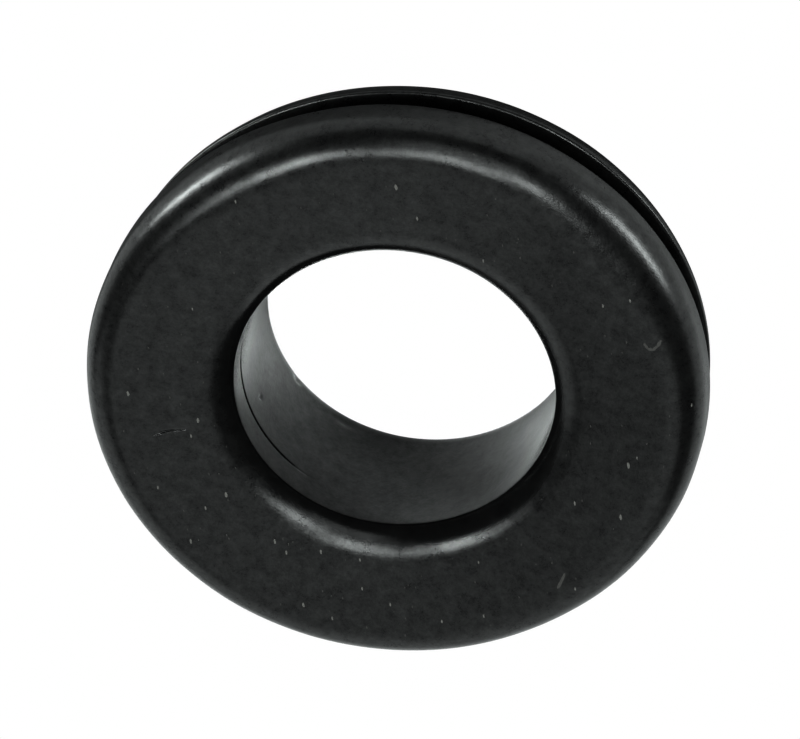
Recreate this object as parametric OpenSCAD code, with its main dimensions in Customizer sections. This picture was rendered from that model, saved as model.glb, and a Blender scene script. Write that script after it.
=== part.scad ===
// Rubber grommet
// A moulded ring that lines a round hole in a sheet panel, so a cable can pass
// through without touching the cut edge. The sheet sits in the groove between
// the two flanges, and the tapered rear flange is the one that is pushed
// through the panel. The ring lies on the narrow end of that taper with its
// bore along +Z, and the origin is at the middle of the rear face.

/* [Cable hole] */
// Diameter of the bore
bore_d = 13; // [8:0.5:14]
// Rounding where the bore meets the front face
bore_lip_r = 1.4; // [0.4:0.1:1.8]
// Rounding where the bore meets the rear face
bore_back_lip_r = 0.9; // [0.3:0.1:1.2]

/* [Front flange] */
// Diameter of the front flange
front_d = 25; // [22:0.5:34]
// Thickness of the front flange
front_t = 2.5; // [2:0.1:4]
// Rounding of the front flange's outer shoulder
front_edge_r = 1.3; // [0.3:0.1:1.9]
// How far the front face sinks towards the bore
front_dish = 0.35; // [0:0.05:0.6]

/* [Rear flange] */
// Largest diameter of the rear flange, next to the groove
back_d = 24.5; // [22:0.1:34]
// Thickness of the rear flange with its taper
back_t = 4.6; // [3.4:0.1:7]
// Rounding of the rear flange's rim
back_edge_r = 1.9; // [0.4:0.1:2.2]
// Diameter of the taper's narrow end
tip_d = 17.6; // [16.8:0.1:20]
// Rounding of the taper's narrow end
tip_edge_r = 0.6; // [0.2:0.1:0.8]

/* [Panel groove] */
// Diameter of the groove's floor, the size of the hole in the panel
groove_d = 19; // [18:0.5:21]
// Width of the groove, the thickness of the panel
groove_w = 1.3; // [0.8:0.1:3.2]

/* [Hidden] */

// Facets of a full turn
$fn = 144;
// Height of the groove's rear wall
groove_z = back_t;
// Height of the groove's front wall
front_z = groove_z + groove_w;
// Whole height of the ring
ring_h = front_z + front_t;

// Centres of the section's five roundings, as [radius, height]
bore_lip_c = [bore_d / 2 + bore_lip_r, ring_h - front_dish - bore_lip_r];
bore_back_lip_c = [bore_d / 2 + bore_back_lip_r, bore_back_lip_r];
front_edge_c = [front_d / 2 - front_edge_r, ring_h - front_edge_r];
back_edge_c = [back_d / 2 - back_edge_r, groove_z];
tip_edge_c = [tip_d / 2 - tip_edge_r, tip_edge_r];

// Which side of two roundings a straight side touches, seen from the first
left_side = 1;
right_side = -1;

// Direction out of a straight side that touches two roundings
function square_to(c1, r1, c2, r2, side) =
    let (way = c2 - c1)
    atan2(way[1], way[0]) + side * acos((r1 - r2) / norm(way));

// Point of a rounding in direction a from its centre
function touch(c, r, a) = c + r * [cos(a), sin(a)];

// Direction out of the front face, which leans a little towards the bore
face_a = square_to(bore_lip_c, bore_lip_r, front_edge_c, front_edge_r, left_side);
// Direction out of the taper
taper_a = square_to(tip_edge_c, tip_edge_r, back_edge_c, back_edge_r, right_side);
// How far the two leaning sides start inside the roundings they touch
inset = 0.001;

// Half disc that rounds the front corners of the section
module round_up(c, r) {
    intersection() {
        translate(c)
        circle(r = r);
        translate(c - [r, 0])
        square([2 * r, r]);
    }
}

// Half disc that rounds the rear corners of the section
module round_down(c, r) {
    intersection() {
        translate(c)
        circle(r = r);
        translate(c - [r, r])
        square([2 * r, r]);
    }
}

// Half section of the ring with its corners cut off straight
module ring_flats() {
    polygon([
        touch(bore_back_lip_c, bore_back_lip_r, 180),
        touch(bore_back_lip_c, bore_back_lip_r, 270),
        touch(tip_edge_c, tip_edge_r, 270),
        touch(tip_edge_c, tip_edge_r - inset, taper_a),
        touch(back_edge_c, back_edge_r - inset, taper_a),
        touch(back_edge_c, back_edge_r, 0),
        [groove_d / 2, groove_z],
        [groove_d / 2, front_z],
        [front_d / 2, front_z],
        touch(front_edge_c, front_edge_r, 0),
        touch(front_edge_c, front_edge_r - inset, face_a),
        touch(bore_lip_c, bore_lip_r - inset, face_a),
        touch(bore_lip_c, bore_lip_r, 180)
    ]);
}

// Half section of the ring with its five roundings
module ring_section() {
    ring_flats();
    round_up(bore_lip_c, bore_lip_r);
    round_up(front_edge_c, front_edge_r);
    round_down(back_edge_c, back_edge_r);
    round_down(tip_edge_c, tip_edge_r);
    round_down(bore_back_lip_c, bore_back_lip_r);
}

// One moulding
module grommet() {
    color("#242527")
    rotate_extrude()
    ring_section();
}

grommet();
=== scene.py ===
# %% [markdown]
# # A moulded rubber grommet
# The real object is one small ring of black rubber, pressed in a two-part steel
# mould. A flat front flange and a tapered rear flange stand out on both sides
# of a narrow groove that grips the edge of a sheet panel.
# A lathe-turned shape like this could come from a Screw modifier on a drawn
# profile. Here the profile and its turning are written out, because then every
# point knows where it lies on the ring, and the roundings can swell and the
# surface can carry the small faults of a real moulding.

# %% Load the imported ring
import math
import random
import bpy
from mathutils import Matrix, Quaternion, Vector, noise


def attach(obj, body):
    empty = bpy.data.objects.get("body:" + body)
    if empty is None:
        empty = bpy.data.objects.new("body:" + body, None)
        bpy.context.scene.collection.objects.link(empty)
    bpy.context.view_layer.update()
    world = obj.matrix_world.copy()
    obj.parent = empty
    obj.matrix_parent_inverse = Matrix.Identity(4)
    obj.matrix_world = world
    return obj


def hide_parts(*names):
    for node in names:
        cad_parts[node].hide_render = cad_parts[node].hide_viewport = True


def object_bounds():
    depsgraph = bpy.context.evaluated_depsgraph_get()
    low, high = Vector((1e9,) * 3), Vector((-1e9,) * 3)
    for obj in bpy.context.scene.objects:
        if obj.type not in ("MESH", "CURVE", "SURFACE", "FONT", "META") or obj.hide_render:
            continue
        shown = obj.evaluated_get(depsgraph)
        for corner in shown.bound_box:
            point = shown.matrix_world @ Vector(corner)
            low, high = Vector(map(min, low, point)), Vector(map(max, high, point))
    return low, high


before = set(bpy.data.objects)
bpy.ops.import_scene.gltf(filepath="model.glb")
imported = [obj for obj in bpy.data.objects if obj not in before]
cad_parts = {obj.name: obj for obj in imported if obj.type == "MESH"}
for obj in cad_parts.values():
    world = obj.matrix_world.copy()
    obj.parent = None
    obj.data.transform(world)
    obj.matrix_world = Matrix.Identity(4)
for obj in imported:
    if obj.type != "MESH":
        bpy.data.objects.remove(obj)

MM = 0.001
SOLID_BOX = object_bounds()
print("box of the solid ring in mm:", [[round(v / MM, 2) for v in end] for end in SOLID_BOX])

# %% [markdown]
# ## Where the camera stands
# The picture looks down on the front flange at a steep angle through a long
# lens, and it is turned by most of a half turn: the near side of the ring is at
# the top. An empty with a Track To constraint could aim the camera. The three
# turns are written instead, since the roll matters here as much as the aim.

# %% Lens, with its length in pixels of the picture
IMAGE_WIDTH = 800
LENS_PIXELS = 6000.0
SENSOR_WIDTH = 36.0
NEAREST_SEEN = 10 * MM

photo_lens = bpy.data.cameras.new("photo_lens")
photo_lens.sensor_width = SENSOR_WIDTH
photo_lens.lens = LENS_PIXELS / IMAGE_WIDTH * SENSOR_WIDTH
photo_lens.clip_start = NEAREST_SEEN
print("lens in mm:", round(photo_lens.lens, 1))

# %% Camera, with its place and turns
CAMERA_PLACE = Vector((0.033, -133.172, 206.600)) * MM
CAMERA_HEIGHT_ANGLE = 56.461
CAMERA_ROLL = -159.162

photo_camera = bpy.data.objects.new("photo_camera", photo_lens)
photo_camera.location = CAMERA_PLACE
tilt = math.radians(90 - CAMERA_HEIGHT_ANGLE)
roll = math.radians(CAMERA_ROLL)
level_right = Vector((1, 0, 0))
level_up = Vector((0, math.cos(tilt), math.sin(tilt)))
backward = Vector((0, -math.sin(tilt), math.cos(tilt)))
picture_right = level_right * math.cos(roll) + level_up * math.sin(roll)
picture_up = level_up * math.cos(roll) - level_right * math.sin(roll)
turned = Matrix([[picture_right[i], picture_up[i], backward[i]] for i in range(3)])
photo_camera.rotation_euler = turned.to_euler("XYZ")
bpy.context.scene.collection.objects.link(photo_camera)
bpy.context.scene.camera = photo_camera
print("camera to ring in mm:", round(CAMERA_PLACE.length / MM, 1))

# %% [markdown]
# ## The section
# Cut through on one side, the ring shows a chain of straight walls and round
# corners. Each wall needs only a few points and each corner many, because
# highlights live on corners. A subdivision surface would round it too, but not
# to the true radii. Each point also keeps the name of its zone, so that a mark
# can be cut into the bore alone or the face alone.

# %% Main sizes in millimetres
FRONT_R = round(SOLID_BOX[1][0] / MM, 3)
TOP_Z = round(SOLID_BOX[1][2] / MM, 3)
FRONT_Z = 5.9
GROOVE_Z = 4.6
GROOVE_R = 9.5
BORE_R = 6.5
print("front flange in mm:", round(TOP_Z - FRONT_Z, 2), "groove in mm:", round(FRONT_Z - GROOVE_Z, 2))


# %% Straight walls and round corners
def wall(start, end, count):
    """Points from start up to, but without, end."""
    steps = [i / count for i in range(count)]
    return [(start[0] + (end[0] - start[0]) * t, start[1] + (end[1] - start[1]) * t) for t in steps]


def on(centre, radius, degrees):
    """Point of a rounding in one direction from its centre."""
    turn = math.radians(degrees)
    return centre[0] + radius * math.cos(turn), centre[1] + radius * math.sin(turn)


def corner(centre, radius, first, last, count):
    """Points of an arc between two directions in degrees, without the last one."""
    return [on(centre, radius, first + (last - first) * i / count) for i in range(count)]


def in_zone(zone, points):
    """The same points, each with the name of its zone."""
    return [(zone, point) for point in points]


print("points of a quarter turn in 4 steps:", len(corner((0, 0), 1, 0, 90, 4)))

# %% A straight side that touches two roundings
LEFT, RIGHT = 1, -1


def square_to(first, first_radius, second, second_radius, side):
    """Direction out of the straight side that touches two roundings, in degrees."""
    way = (second[0] - first[0], second[1] - first[1])
    lean = math.acos((first_radius - second_radius) / math.hypot(*way))
    return math.degrees(math.atan2(way[1], way[0]) + side * lean)


print("out of the top of two equal circles:", square_to((0, 0), 1, (4, 0), 1, LEFT), "degrees")

# %% The bore's wall, finer where the line and the pinhole will be
REAR_LIP_R = 0.9
LINE_Z = 5.84
FINE_HALF = 0.16
BORE_HEIGHTS = [LINE_Z + FINE_HALF, LINE_Z - FINE_HALF, 3.6, 1.5, REAR_LIP_R]
BORE_STEPS = [12, 20, 6, 6]

rear = []
for top, bottom, steps in zip(BORE_HEIGHTS, BORE_HEIGHTS[1:], BORE_STEPS):
    rear += in_zone("bore", wall((BORE_R, top), (BORE_R, bottom), steps))
print("points of the bore's wall:", len(rear))

# %% The rear flange, the same all round
TIP_R, TIP_EDGE_R = 8.8, 0.6
REAR_R, REAR_EDGE_R = 12.25, 1.9
MOULD_EDGE_R = 0.12
RIM_STOP = -4

rear_lip_centre = (BORE_R + REAR_LIP_R, REAR_LIP_R)
tip_centre = (TIP_R - TIP_EDGE_R, TIP_EDGE_R)
rim_centre = (REAR_R - REAR_EDGE_R, GROOVE_Z)
mould_edge_centre = (REAR_R - MOULD_EDGE_R, GROOVE_Z - MOULD_EDGE_R)
taper = square_to(tip_centre, TIP_EDGE_R, rim_centre, REAR_EDGE_R, RIGHT)
taper_start, taper_end = on(tip_centre, TIP_EDGE_R, taper), on(rim_centre, REAR_EDGE_R, taper)

rear += in_zone("rear", corner(rear_lip_centre, REAR_LIP_R, 180, 270, 8))
rear += in_zone("rear", wall((rear_lip_centre[0], 0), (tip_centre[0], 0), 2))
rear += in_zone("rear", corner(tip_centre, TIP_EDGE_R, 270, 360 + taper, 4))
rear += in_zone("rear", wall(taper_start, taper_end, 5))
rear += in_zone("rear", corner(rim_centre, REAR_EDGE_R, taper, RIM_STOP, 9))
rear += in_zone("rear", corner(mould_edge_centre, MOULD_EDGE_R, 0, 90, 3))
print("the taper leans", round(90 + taper, 1), "degrees from the axis")

# %% The groove and the front flange's lower edge
LOWER_EDGE_R = 0.28
lower_centre = (FRONT_R - LOWER_EDGE_R, FRONT_Z + LOWER_EDGE_R)
rear += in_zone("groove", wall((mould_edge_centre[0], GROOVE_Z), (GROOVE_R, GROOVE_Z), 3))
rear += in_zone("groove", wall((GROOVE_R, GROOVE_Z), (GROOVE_R, FRONT_Z), 2))
rear += in_zone("groove", wall((GROOVE_R, FRONT_Z), (lower_centre[0], FRONT_Z), 3))
rear += in_zone("side", corner(lower_centre, LOWER_EDGE_R, 270, 360, 5))
print("points behind the front flange:", len(rear))

# %% [markdown]
# ## Roundings that swell
# On the real ring the bore's lip is wider on one side than on the other, and
# the outer shoulder is softer at two places. Steel moulds are polished by hand,
# and soft rubber shrinks a little unevenly. A sculpt brush could do this.
# Smooth bumps around the ring keep the section exact everywhere else.
# The lip isn't one arc: a wide one comes down from the face, and a tight one
# turns it into the bore, where the core pin met the cavity. That gives the
# crisp edge between the bore's grey wall and the black of the lip.

# %% Radii that change around the ring, with each bump's middle, spread and height
BORE_LIP_R = 1.7
WIDE_LIP = (138.0, 34.0, 0.20)
FRONT_EDGE_R = 1.3
SOFT_SHOULDERS = [(-38.0, 22.0, 0.40), (-122.0, 17.0, 0.62)]


def bump(degrees, middle, spread, height):
    """A smooth hill around one direction of the ring."""
    away = (degrees - middle + 180) % 360 - 180
    return height * math.exp(-(away / spread) ** 2)


def lip_radius(degrees):
    return BORE_LIP_R + bump(degrees, *WIDE_LIP)


def shoulder_radius(degrees):
    return FRONT_EDGE_R + sum(bump(degrees, *soft) for soft in SOFT_SHOULDERS)


print("lip radius from", BORE_LIP_R, "to", round(lip_radius(WIDE_LIP[0]), 2), "mm")
print("shoulder radius up to", round(shoulder_radius(SOFT_SHOULDERS[1][0]), 2), "mm")

# %% The front flange, with its swelling roundings
FACE_DISH = 0.35
MOUTH_R, MOUTH_LEAN = 0.4, 55.0
FINE_FACE_FROM, FINE_FACE_TO = 8.4, 9.9


def at_radius(start, end, radius):
    """The point of a straight side that lies at one radius."""
    t = (radius - start[0]) / (end[0] - start[0])
    return radius, start[1] + (end[1] - start[1]) * t


def section(degrees):
    """All points of the section at one direction, each with the name of its zone."""
    lip_r, shoulder_r = lip_radius(degrees), shoulder_radius(degrees)
    mouth = math.sin(math.radians(MOUTH_LEAN))
    lip_centre = (BORE_R + MOUTH_R * (1 - mouth) + lip_r * mouth, TOP_Z - FACE_DISH - lip_r)
    mouth_centre = on(lip_centre, lip_r - MOUTH_R, 90 + MOUTH_LEAN)
    shoulder_centre = (FRONT_R - shoulder_r, TOP_Z - shoulder_r)
    face = square_to(lip_centre, lip_r, shoulder_centre, shoulder_r, LEFT)
    face_start, face_end = on(shoulder_centre, shoulder_r, face), on(lip_centre, lip_r, face)
    fine_start = at_radius(face_start, face_end, FINE_FACE_TO)
    fine_end = at_radius(face_start, face_end, FINE_FACE_FROM)
    front = in_zone("side", wall((FRONT_R, lower_centre[1]), (FRONT_R, shoulder_centre[1]), 4))
    front += in_zone("shoulder", corner(shoulder_centre, shoulder_r, 0, face, 20))
    front += in_zone("face", wall(face_start, fine_start, 4))
    front += in_zone("face", wall(fine_start, fine_end, 12))
    front += in_zone("face", wall(fine_end, face_end, 2))
    front += in_zone("lip", corner(lip_centre, lip_r, face, 90 + MOUTH_LEAN, 16))
    front += in_zone("lip", corner(mouth_centre, MOUTH_R, 90 + MOUTH_LEAN, 180, 6))
    front += in_zone("bore", wall((BORE_R, mouth_centre[1]), (BORE_R, BORE_HEIGHTS[0]), 3))
    return rear + front


print("points in the section:", len(section(0)))

# %% [markdown]
# ## Not quite round
# Soft rubber keeps a little of the shape it was packed in. This ring is out of
# round by a few tenths of a millimetre, and its surface wanders by a hundredth
# or two. A Displace modifier with a cloud texture could do it, but moving the
# points as they are placed keeps the bore's wall and the groove true.

# %% A point of the ring
OVAL_ALONG_X = -0.012
OVAL_DIAGONAL = 0.0292
WAVE = 0.022
WAVES_PER_MM = 0.35
WAVE_FULL_Z = 2


def oval(angle):
    """How far the ring is stretched in one direction."""
    return 1 + OVAL_ALONG_X * math.cos(2 * angle) + OVAL_DIAGONAL * math.sin(2 * angle)


def ring_point(radius, height, angle):
    """A point in metres from its place on the section."""
    along = radius * oval(angle)
    return Vector((along * math.cos(angle), along * math.sin(angle), height)) * MM


def swell(radius, height, angle):
    """Slow unevenness of the moulded surface, none where the ring lies on the table."""
    spot = Vector((radius * math.cos(angle), radius * math.sin(angle), height))
    return WAVE * noise.noise(spot * WAVES_PER_MM) * min(1, height / WAVE_FULL_Z)


widest = max(oval(math.radians(degrees)) for degrees in range(180))
print("widest half of the oval in mm:", round(FRONT_R * widest, 2))

# %% [markdown]
# ## Marks in the rubber
# Inside the bore a fine line runs round behind the lip, where two parts of the
# core pin met. It fades out after nearly a fifth of the ring. Below it is a
# pinhole, the rear edge has a nick and a dull dent, and the front face has one
# crease that is steep on its far side. A normal map would look flat from low
# angles, so they are cut into the mesh as shallow dips.

# %% Helpers for dips
def dip(distance, reach):
    """Depth of a smooth dip, 1 in its middle."""
    return math.exp(-(distance / reach) ** 2)


def ramp(value, start, end):
    """Smooth climb from 0 at start to 1 at end."""
    t = min(1, max(0, (value - start) / (end - start)))
    return t * t * (3 - 2 * t)


print("a dip has lost half its depth at", round(math.sqrt(math.log(2)), 2), "of its reach")

# %% Marks in the bore, in degrees and millimetres
LINE_DEPTH, LINE_HALF = 0.05, 0.055
LINE_FROM, LINE_TO, LINE_FADE = 8.0, 76.0, 9.0
PINHOLE = {"degrees": 42.5, "z": 4.43, "reach": 0.10, "depth": 0.06}
NICK = {"degrees": 55.5, "z": 0.72, "along": 0.25, "across": 0.22, "depth": 0.12}
DENT = {"degrees": 78.0, "z": 1.05, "along": 0.45, "across": 0.25, "depth": 0.07}


def bore_marks(height, degrees):
    """How deep the bore's wall dips at one place."""
    fade_in = ramp(degrees, LINE_FROM - LINE_FADE, LINE_FROM)
    fade_out = 1 - ramp(degrees, LINE_TO - 2 * LINE_FADE, LINE_TO)
    depth = LINE_DEPTH * fade_in * fade_out * dip(height - LINE_Z, LINE_HALF)
    for mark in (NICK, DENT):
        along = math.radians(degrees - mark["degrees"]) * BORE_R
        depth += mark["depth"] * dip(along, mark["along"]) * dip(height - mark["z"], mark["across"])
    along = math.radians(degrees - PINHOLE["degrees"]) * BORE_R
    return depth + PINHOLE["depth"] * dip(math.hypot(along, height - PINHOLE["z"]), PINHOLE["reach"])


print("depth of the fine line in mm:", round(bore_marks(LINE_Z, 30), 3))

# %% The crease on the face, with its radii, degrees and fine stretch
CREASE = [(8.50, 33.8), (9.00, 33.2), (9.44, 33.1), (9.80, 33.7)]
CREASE_DEPTH, CREASE_NEAR, CREASE_FAR, CREASE_END = 0.06, 0.07, 0.012, 0.15
CREASE_FINE = (31.9, 34.3)


def crease_middle(radius):
    """Direction in degrees in which the crease crosses one radius."""
    for (near, first), (far, last) in zip(CREASE, CREASE[1:]):
        if radius <= far:
            return first + (last - first) * (radius - near) / (far - near)
    return CREASE[-1][1]


def face_marks(radius, degrees):
    """How deep the face dips at one place."""
    first, last = CREASE[0][0], CREASE[-1][0]
    if not (CREASE_FINE[0] < degrees < CREASE_FINE[1] and first < radius < last):
        return 0
    across = math.radians(degrees - crease_middle(radius)) * radius
    fade = ramp(radius, first, first + CREASE_END) * (1 - ramp(radius, last - CREASE_END, last))
    return CREASE_DEPTH * fade * dip(across, CREASE_NEAR if across < 0 else CREASE_FAR)


print("length of the crease in mm:", round(CREASE[-1][0] - CREASE[0][0], 2))


# %% All marks
def marks(zone, radius, height, degrees):
    """How deep the surface dips at one place."""
    if zone == "bore" or (zone == "rear" and radius < rear_lip_centre[0]):
        return bore_marks(height, degrees)
    if zone == "face":
        return face_marks(radius, degrees)
    return 0


print("depth in the nick in mm:", round(marks("bore", BORE_R, NICK["z"], NICK["degrees"]), 3))

# %% [markdown]
# ## Turning the section
# Each direction round the ring gets its own section, and neighbours are joined
# with four-sided faces. Directions are close together where the crease is, so
# that the cut has enough points, and even elsewhere.

# %% Directions round the ring
STEPS_AROUND = 600
FINE_STEPS = 44
even = [360 * i / STEPS_AROUND - 180 for i in range(STEPS_AROUND)]
fine_span = CREASE_FINE[1] - CREASE_FINE[0]
fine = [CREASE_FINE[0] + fine_span * (i + 0.5) / FINE_STEPS for i in range(FINE_STEPS)]
directions = sorted([d for d in even if not CREASE_FINE[0] < d < CREASE_FINE[1]] + fine)
print("directions:", len(directions))


# %% Points of the moulding
def outward(points, index):
    """Direction out of the rubber at one point of the section."""
    before, after = points[index - 1][1], points[(index + 1) % len(points)][1]
    along = Vector((after[0] - before[0], after[1] - before[1])).normalized()
    return along[1], -along[0]


vertices = []
for degrees in directions:
    angle = math.radians(degrees)
    points = section(degrees)
    for index, (zone, (radius, height)) in enumerate(points):
        out_r, out_z = outward(points, index)
        rise = swell(radius, height, angle) - marks(zone, radius, height, degrees)
        vertices.append(ring_point(radius + rise * out_r, height + rise * out_z, angle))
print("points of the moulding:", len(vertices))

# %% Faces of the moulding
count = len(section(0))
faces = []
for step in range(len(directions)):
    here, beyond = step * count, (step + 1) % len(directions) * count
    for index in range(count):
        after = (index + 1) % count
        faces.append((here + index, beyond + index, beyond + after, here + after))

ring_mesh = bpy.data.meshes.new("grommet_moulding")
ring_mesh.from_pydata(vertices, [], faces)
ring_mesh.validate()
ring_mesh.shade_smooth()
print("triangles of the moulding:", 2 * len(ring_mesh.polygons))

# %% The moulding takes the solid's place
moulding = bpy.data.objects.new("grommet_moulding", ring_mesh)
bpy.context.scene.collection.objects.link(moulding)
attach(moulding, "root")
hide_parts("grommet")
sideways = [vertex.co.x for vertex in ring_mesh.vertices]
print("moulding along X in mm:", round((max(sideways) - min(sideways)) / MM, 2))

# %% [markdown]
# ## Satin black rubber
# Filled black rubber copies the fine blasted grain of the steel, so it is never
# glossy and never quite flat. Three noises do the work: a fine one lifts the
# surface by a few microns, a middle one mottles the shine, and a coarse one
# makes some patches duller and greyer than others, as mould release leaves them.
# An image texture could hold this, but noise has no seams and no resolution.

# %% Rubber material and its helpers
satin_rubber = bpy.data.materials.new("satin_black_rubber")
satin_rubber.use_nodes = True
nodes, links = satin_rubber.node_tree.nodes, satin_rubber.node_tree.links
rubber = nodes["Principled BSDF"]
place = nodes.new("ShaderNodeTexCoord")


USUAL_LOW, USUAL_HIGH = 0.3, 0.7


def noise_node(scale, detail, rough):
    """A noise over the ring, with its scale in waves per metre."""
    node = nodes.new("ShaderNodeTexNoise")
    node.inputs["Scale"].default_value = scale
    node.inputs["Detail"].default_value = detail
    node.inputs["Roughness"].default_value = rough
    links.new(place.outputs["Object"], node.inputs["Vector"])
    return node.outputs["Fac"]


def spread_node(source, out_low, out_high, low=USUAL_LOW, high=USUAL_HIGH):
    """Stretch a value from one range to another. Noise mostly stays in the usual one."""
    node = nodes.new("ShaderNodeMapRange")
    node.inputs["From Min"].default_value = low
    node.inputs["From Max"].default_value = high
    node.inputs["To Min"].default_value = out_low
    node.inputs["To Max"].default_value = out_high
    links.new(source, node.inputs["Value"])
    return node.outputs["Result"]


print("material:", satin_rubber.name)

# %% Colour and dullness in patches
PATCHES_PER_METRE = 900
BLACK, SOOT = (0.0035, 0.0035, 0.0038, 1), (0.0105, 0.0107, 0.0105, 1)
BLACK_TO, SOOT_FROM = 0.3, 0.72
SATIN, DULL = 0.25, 0.33

patches = noise_node(PATCHES_PER_METRE, detail=8, rough=0.85)
tint = nodes.new("ShaderNodeValToRGB")
for stop, position, colour in zip(tint.color_ramp.elements, (BLACK_TO, SOOT_FROM), (BLACK, SOOT)):
    stop.position, stop.color = position, colour
links.new(patches, tint.inputs["Fac"])
links.new(tint.outputs["Color"], rubber.inputs["Base Color"])
dullness = spread_node(patches, SATIN, DULL)
print("patches in mm:", round(1 / PATCHES_PER_METRE / MM, 1))

# %% The bore is smoother than the outside, since a polished pin shapes it
BORE_SMOOTH_TO, OUTSIDE_FROM = 6.75 * MM, 7.1 * MM
BORE_SHARE = 0.40

apart = nodes.new("ShaderNodeSeparateXYZ")
across = nodes.new("ShaderNodeCombineXYZ")
from_axis = nodes.new("ShaderNodeVectorMath")
from_axis.operation = "LENGTH"
links.new(place.outputs["Object"], apart.inputs["Vector"])
links.new(apart.outputs["X"], across.inputs["X"])
links.new(apart.outputs["Y"], across.inputs["Y"])
links.new(across.outputs["Vector"], from_axis.inputs[0])
outside = spread_node(from_axis.outputs["Value"], BORE_SHARE, 1.0, BORE_SMOOTH_TO, OUTSIDE_FROM)
scaled = nodes.new("ShaderNodeMath")
scaled.operation = "MULTIPLY"
links.new(dullness, scaled.inputs[0])
links.new(outside, scaled.inputs[1])
links.new(scaled.outputs["Value"], rubber.inputs["Roughness"])
print("roughness of the bore:", round(SATIN * BORE_SHARE, 2), "to", round(DULL * BORE_SHARE, 2))

# %% Mottled shine and fine grain
MOTTLES_PER_METRE, GRAINS_PER_METRE = 1800, 9000
SHINE_LOW, SHINE_HIGH = 0.24, 0.76
GRAIN_HEIGHT, GRAIN_STRENGTH = 0.02 * MM, 0.3

mottle = noise_node(MOTTLES_PER_METRE, detail=7, rough=0.9)
links.new(spread_node(mottle, SHINE_LOW, SHINE_HIGH), rubber.inputs["Specular IOR Level"])
grain_bump = nodes.new("ShaderNodeBump")
grain_bump.inputs["Strength"].default_value = GRAIN_STRENGTH
grain_bump.inputs["Distance"].default_value = GRAIN_HEIGHT
links.new(noise_node(GRAINS_PER_METRE, detail=3, rough=0.6), grain_bump.inputs["Height"])
links.new(grain_bump.outputs["Normal"], rubber.inputs["Normal"])
ring_mesh.materials.append(satin_rubber)
print("grain in mm:", round(1 / GRAINS_PER_METRE / MM, 2))

# %% [markdown]
# ## Dust and lint
# Rubber holds a charge, so a loose ring always carries dust. A few flakes are
# large enough to be seen one by one, and they lie where the picture shows them.
# Many more are fine. A particle system could strew them, but here each flake is
# a small flattened pebble half sunk in the surface, so it can't float.

# %% Where the front surface is
FRONT_ZONES = ("shoulder", "face", "lip")


def front_surface(x, y):
    """Place and outward direction on the front flange above a spot in millimetres."""
    angle = math.atan2(y, x)
    radius = math.hypot(x, y) / oval(angle)
    points = section(math.degrees(angle))
    top = [i for i, (zone, point) in enumerate(points) if zone in FRONT_ZONES]
    index = min(top, key=lambda i: abs(points[i][1][0] - radius))
    before, after = points[index - 1][1], points[(index + 1) % len(points)][1]
    t = (radius - before[0]) / (after[0] - before[0])
    height = before[1] + (after[1] - before[1]) * t
    out_r, out_z = outward(points, index)
    rise = swell(radius, height, angle)
    direction = Vector((out_r * math.cos(angle), out_r * math.sin(angle), out_z))
    return ring_point(radius + rise * out_r, height + rise * out_z, angle), direction


print("height of the face 9.5 mm out:", round(front_surface(9.5, 0)[0].z / MM, 2), "mm")

# %% One flake
FLAKE_RINGS, FLAKE_SIDES = 4, 7
FLAKE_LIE = Vector((0.42, -0.91, 0))
FLAKE_ROUGH = (0.75, 1.15)
flake_vertices, flake_faces = [], []
chance = random.Random(11)


def add_pebble(spot, direction, size, lie):
    """A flattened pebble of a length, width and thickness in metres, half sunk in the surface."""
    length, width, thickness = size
    long_way = (lie - direction * lie.dot(direction)).normalized()
    wide_way = direction.cross(long_way)
    first = len(flake_vertices)
    for ring in range(FLAKE_RINGS + 1):
        polar = math.pi * ring / FLAKE_RINGS
        for side in range(FLAKE_SIDES):
            around = 2 * math.pi * side / FLAKE_SIDES
            rough = chance.uniform(*FLAKE_ROUGH)
            flake_vertices.append(spot + long_way * math.cos(polar) * length / 2
                                  + wide_way * math.sin(polar) * math.cos(around) * width / 2 * rough
                                  + direction * math.sin(polar) * math.sin(around) * thickness / 2 * rough)
    for ring in range(FLAKE_RINGS):
        for side in range(FLAKE_SIDES):
            a = first + ring * FLAKE_SIDES + side
            b = first + ring * FLAKE_SIDES + (side + 1) % FLAKE_SIDES
            flake_faces.append((a, b, b + FLAKE_SIDES, a + FLAKE_SIDES))


print("faces of a flake:", FLAKE_RINGS * FLAKE_SIDES)

# %% Flakes that the picture shows, as x, y in millimetres and relative size
FLAKE_SIZE = Vector((0.30, 0.14, 0.05)) * MM
SEEN_FLAKES = [
    (2.7, -9.6, 1.0), (1.5, -8.5, 0.7), (-1.5, -7.7, 0.6), (-6.5, -7.9, 0.6), (-7.4, -8.6, 0.6),
    (8.6, -0.8, 0.5), (8.4, -6.4, 0.6), (9.9, 4.0, 0.9), (6.9, 4.2, 0.8), (7.5, 7.8, 0.6),
    (4.8, 7.1, 0.9), (5.4, 8.0, 0.6), (5.5, 9.7, 0.8), (2.3, 8.4, 0.8), (1.7, 8.7, 0.7),
    (0.4, 8.1, 0.7), (-1.2, 7.8, 0.6), (-1.7, 9.0, 0.6), (0.3, 10.7, 0.8), (-1.0, 10.8, 0.6),
    (-3.0, 9.2, 0.6), (-9.8, -1.3, 1.0), (-10.0, -1.8, 0.5), (-11.2, -4.9, 0.6), (-8.4, 1.4, 0.7),
    (-10.3, 1.1, 0.9), (-5.7, 5.8, 0.5), (-6.7, 8.0, 0.6), (-5.2, 9.0, 0.6), (-9.7, 5.1, 0.6),
    (6.95, 5.0, 0.6),
]


def add_flake(x, y, size):
    """A flake on the front flange."""
    spot, direction = front_surface(x, y)
    add_pebble(spot, direction, FLAKE_SIZE * size, FLAKE_LIE)


for x, y, size in SEEN_FLAKES:
    add_flake(x, y, size)
bright_faces = len(flake_faces)
print("flakes seen one by one:", len(SEEN_FLAKES))

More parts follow.
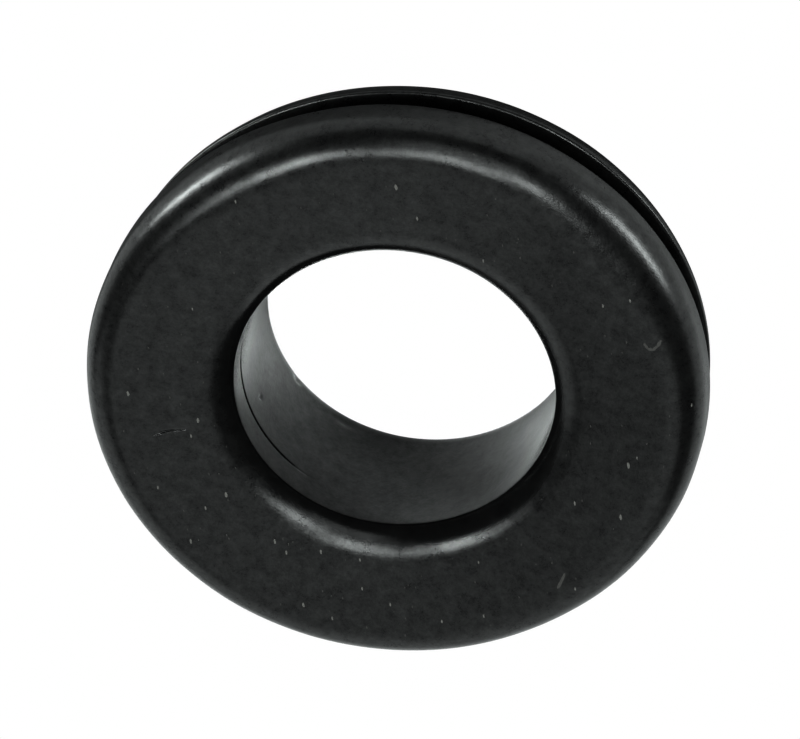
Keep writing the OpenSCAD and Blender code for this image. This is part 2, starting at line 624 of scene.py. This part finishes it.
# %% Two bits of lint, each a chain of overlapping pebbles
LINT = [[(-8.56, -6.98), (-8.76, -6.83), (-8.96, -6.89), (-9.07, -7.12), (-9.11, -7.36)],
        [(-9.04, 5.36), (-9.08, 5.02), (-9.08, 4.69)]]
LINT_WIDTH, LINT_THICKNESS, LINT_OVERLAP = 0.15, 0.04, 1.5

for fibre in LINT:
    for start, end in zip(fibre, fibre[1:]):
        spot, direction = front_surface((start[0] + end[0]) / 2, (start[1] + end[1]) / 2)
        along = Vector((end[0] - start[0], end[1] - start[1], 0))
        size = Vector((along.length * LINT_OVERLAP, LINT_WIDTH, LINT_THICKNESS)) * MM
        add_pebble(spot, direction, size, along)
print("bits of lint:", len(LINT))

# %% A speck on the side wall
SPECK_DEGREES, SPECK_Z = -112.5, 6.5
SPECK_SIZE = Vector((0.16, 0.10, 0.04)) * MM
speck_angle = math.radians(SPECK_DEGREES)
speck_out = Vector((math.cos(speck_angle), math.sin(speck_angle), 0))
speck_spot = ring_point(FRONT_R, SPECK_Z, speck_angle)
add_pebble(speck_spot, speck_out, SPECK_SIZE, Vector((0, 0, 1)))
print("speck at height in mm:", round(speck_spot.z / MM, 2))

# %% Fine dust everywhere on the front
FINE_DUST = 170
DUST_FROM, DUST_TO = 7.3, 12.2
DUST_SMALLEST, DUST_LARGEST = 0.18, 0.42

for _ in range(FINE_DUST):
    turn, radius = chance.uniform(0, 2 * math.pi), chance.uniform(DUST_FROM, DUST_TO)
    size = chance.uniform(DUST_SMALLEST, DUST_LARGEST)
    add_flake(radius * math.cos(turn), radius * math.sin(turn), size)

dust_mesh = bpy.data.meshes.new("dust_flakes")
dust_mesh.from_pydata(flake_vertices, [], flake_faces)
dust = bpy.data.objects.new("dust_flakes", dust_mesh)
bpy.context.scene.collection.objects.link(dust)
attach(dust, "root")
print("fine flakes:", FINE_DUST)

# %% Dust materials: thin flakes and lint let the black show through, so they are darker
THICK_GREY, THIN_GREY = (0.13, 0.128, 0.12, 1), (0.055, 0.054, 0.051, 1)
DUST_ROUGHNESS = 0.8


def dust_material(name, colour):
    material = bpy.data.materials.new(name)
    material.use_nodes = True
    shader = material.node_tree.nodes["Principled BSDF"]
    shader.inputs["Base Color"].default_value = colour
    shader.inputs["Roughness"].default_value = DUST_ROUGHNESS
    dust_mesh.materials.append(material)


dust_material("dust_grey", THICK_GREY)
dust_material("dust_film", THIN_GREY)
for polygon in dust_mesh.polygons[bright_faces:]:
    polygon.material_index = 1
print("materials of the dust:", [material.name for material in dust_mesh.materials])

# %% [markdown]
# ## Floor
# The ring lies on a plain white sheet. The camera sees the sheet as plain white.
# The rubber mirrors it, and on the real table the ring's own shade keeps the
# sheet dim close under the flanges, so the rear rim stays nearly black. A lit
# white plane alone would be too bright there, so that shade is painted into the
# sheet's grey, which changes with the distance from the ring's middle: light in
# the hole, a painted shadow under the flanges, light again outside.

# %% The sheet
FLOOR_HALF = 1.5
FLOOR_GAP = 0.02 * MM
floor_corners = [(-FLOOR_HALF, -FLOOR_HALF, 0), (FLOOR_HALF, -FLOOR_HALF, 0),
                 (FLOOR_HALF, FLOOR_HALF, 0), (-FLOOR_HALF, FLOOR_HALF, 0)]
floor_mesh = bpy.data.meshes.new("white_sheet")
floor_mesh.from_pydata(floor_corners, [], [(0, 1, 2, 3)])
floor = bpy.data.objects.new("white_sheet", floor_mesh)
floor.location.z = -FLOOR_GAP
bpy.context.scene.collection.objects.link(floor)
print("sheet in m:", 2 * FLOOR_HALF)

# %% How grey the sheet is at one place, with a painted shadow under the flanges
SHEET_IN_HOLE, SHEET_PAINTED_SHADE, SHEET_OPEN = 0.45, 0.10, 0.75
SHADE_FROM, SHADE_FULL, SHADE_MIDDLE = 7.0 * MM, 9.0 * MM, (0, 0, 0)
OPEN_FROM, OPEN_FULL, OPEN_MIDDLE = 14.6 * MM, 18.0 * MM, (3.0 * MM, 0, 0)

white_sheet = bpy.data.materials.new("white_sheet")
white_sheet.use_nodes = True
sheet_nodes, sheet_links = white_sheet.node_tree.nodes, white_sheet.node_tree.links
sheet_place = sheet_nodes.new("ShaderNodeTexCoord")


def sheet_ring(middle, start, end, value):
    """A grey that changes between two distances in metres from a place on the sheet."""
    away = sheet_nodes.new("ShaderNodeVectorMath")
    away.operation = "DISTANCE"
    away.inputs[1].default_value = middle
    change = sheet_nodes.new("ShaderNodeMapRange")
    change.inputs["From Min"].default_value = start
    change.inputs["From Max"].default_value = end
    change.inputs["To Max"].default_value = value
    sheet_links.new(sheet_place.outputs["Object"], away.inputs[0])
    sheet_links.new(away.outputs["Value"], change.inputs["Value"])
    return change


# The painted shadow: the sheet turns dim grey under the flanges, between these distances from the middle.
painted_shade = sheet_ring(SHADE_MIDDLE, SHADE_FROM, SHADE_FULL, SHEET_PAINTED_SHADE)
painted_shade.inputs["To Min"].default_value = SHEET_IN_HOLE
opened = sheet_ring(OPEN_MIDDLE, OPEN_FROM, OPEN_FULL, SHEET_OPEN)
sheet_links.new(painted_shade.outputs["Result"], opened.inputs["To Min"])
print("greys of the sheet:", SHEET_IN_HOLE, SHEET_PAINTED_SHADE, SHEET_OPEN)

# %% Plain white to the camera, grey to the rubber
WHITE = (1, 1, 1, 1)
lit = sheet_nodes.new("ShaderNodeBsdfDiffuse")
plain = sheet_nodes.new("ShaderNodeEmission")
plain.inputs["Color"].default_value = WHITE
ray = sheet_nodes.new("ShaderNodeLightPath")
choose = sheet_nodes.new("ShaderNodeMixShader")
sheet_links.new(opened.outputs["Result"], lit.inputs["Color"])
sheet_links.new(ray.outputs["Is Camera Ray"], choose.inputs["Fac"])
sheet_links.new(lit.outputs["BSDF"], choose.inputs[1])
sheet_links.new(plain.outputs["Emission"], choose.inputs[2])
sheet_links.new(choose.outputs["Shader"], sheet_nodes["Material Output"].inputs["Surface"])
floor_mesh.materials.append(white_sheet)
print("material of the sheet:", white_sheet.name)

# %% [markdown]
# ## Light
# Three narrow lamps hang over the ring, and two low strips stand beside it.
# Each lamp makes one streak on the outer shoulder and a matching one on the lip
# across the bore. A wide fill and two white backdrops give the face its soft
# grey and light the sheet, which the side wall mirrors. Two narrow spots light
# the sheet in the hole for the bore's wall. One large dome light would be
# simpler, but it gives one even line instead of streaks.

# %% Lamps, with their places and sizes in metres, their watts and their turns in degrees
COOL_WHITE = (0.95, 1.0, 0.99)


def area_light(name, spot, width, depth, watts, turn=0.0):
    """A flat light that looks at the ring, turned in its own plane."""
    light = bpy.data.lights.new(name, "AREA")
    light.shape = "RECTANGLE"
    light.size, light.size_y = width, depth
    light.energy = watts
    light.color = COOL_WHITE
    lamp = bpy.data.objects.new(name, light)
    lamp.location = spot
    aim = Vector(spot).to_track_quat("Z", "Y") @ Quaternion((0, 0, 1), math.radians(turn))
    lamp.rotation_euler = aim.to_euler()
    lamp.visible_camera = False
    bpy.context.scene.collection.objects.link(lamp)


area_light("right_lamp", (0.32, 0.02, 0.58), 0.03, 0.20, 1.95, -54)
area_light("middle_lamp", (0.07, -0.08, 0.60), 0.03, 0.26, 1.35, -30)
area_light("left_lamp", (-0.13, -0.22, 0.61), 0.04, 0.22, 1.5, 20)
area_light("front_fill", (0.04, -0.38, 0.50), 0.40, 0.30, 0.7)
area_light("right_strip", (0.12, -0.012, 0.007), 0.036, 0.013, 0.07)
area_light("left_strip", (-0.087, -0.081, 0.008), 0.040, 0.014, 0.06)
area_light("backdrop_low", (0.0, 0.90, 0.33), 1.8, 0.62, 4.2)
area_light("backdrop_high", (-0.24, 0.50, 0.80), 0.8, 0.64, 1.6)
print("flat lights:", len([light for light in bpy.data.lights if light.type == "AREA"]))

# %% Two narrow spots through the bore, aimed at places on the sheet in millimetres
SPOT_CONE = 1.0
SPOT_SOFT_EDGE = 0.7
SPOT_RADIUS = 0.002


def bore_spot(name, spot, target, watts):
    """A narrow cone of light from a place in metres."""
    light = bpy.data.lights.new(name, "SPOT")
    light.energy = watts
    light.color = COOL_WHITE
    light.spot_size = math.radians(SPOT_CONE)
    light.spot_blend = SPOT_SOFT_EDGE
    light.shadow_soft_size = SPOT_RADIUS
    lamp = bpy.data.objects.new(name, light)
    lamp.location = spot
    lamp.rotation_euler = (Vector(spot) - Vector(target) * MM).to_track_quat("Z", "Y").to_euler()
    bpy.context.scene.collection.objects.link(lamp)


bore_spot("bore_spot_left", (-0.077, -0.095, 0.272), (3.4, 4.2, 0), 10.0)
bore_spot("bore_spot_right", (0.077, -0.090, 0.272), (-4.6, 3.4, 0), 5.0)
print("spots:", len([light for light in bpy.data.lights if light.type == "SPOT"]))

# %% A trace of light from all round
STUDIO_GLOW = 0.02
world = bpy.data.worlds.new("studio")
world.use_nodes = True
background = world.node_tree.nodes["Background"]
background.inputs["Color"].default_value = WHITE
background.inputs["Strength"].default_value = STUDIO_GLOW
bpy.context.scene.world = world
print("glow of the studio:", STUDIO_GLOW)

# %% [markdown]
# ## A contrasty picture
# The picture has deep blacks beside a pure white sheet. The Standard view keeps
# the white, and a display gamma below one pulls the dark tones down without
# touching the rubber's own colour.

# %% View
DISPLAY_GAMMA = 0.75
bpy.context.scene.view_settings.view_transform = "Standard"
bpy.context.scene.view_settings.gamma = DISPLAY_GAMMA
print("view:", bpy.context.scene.view_settings.view_transform)
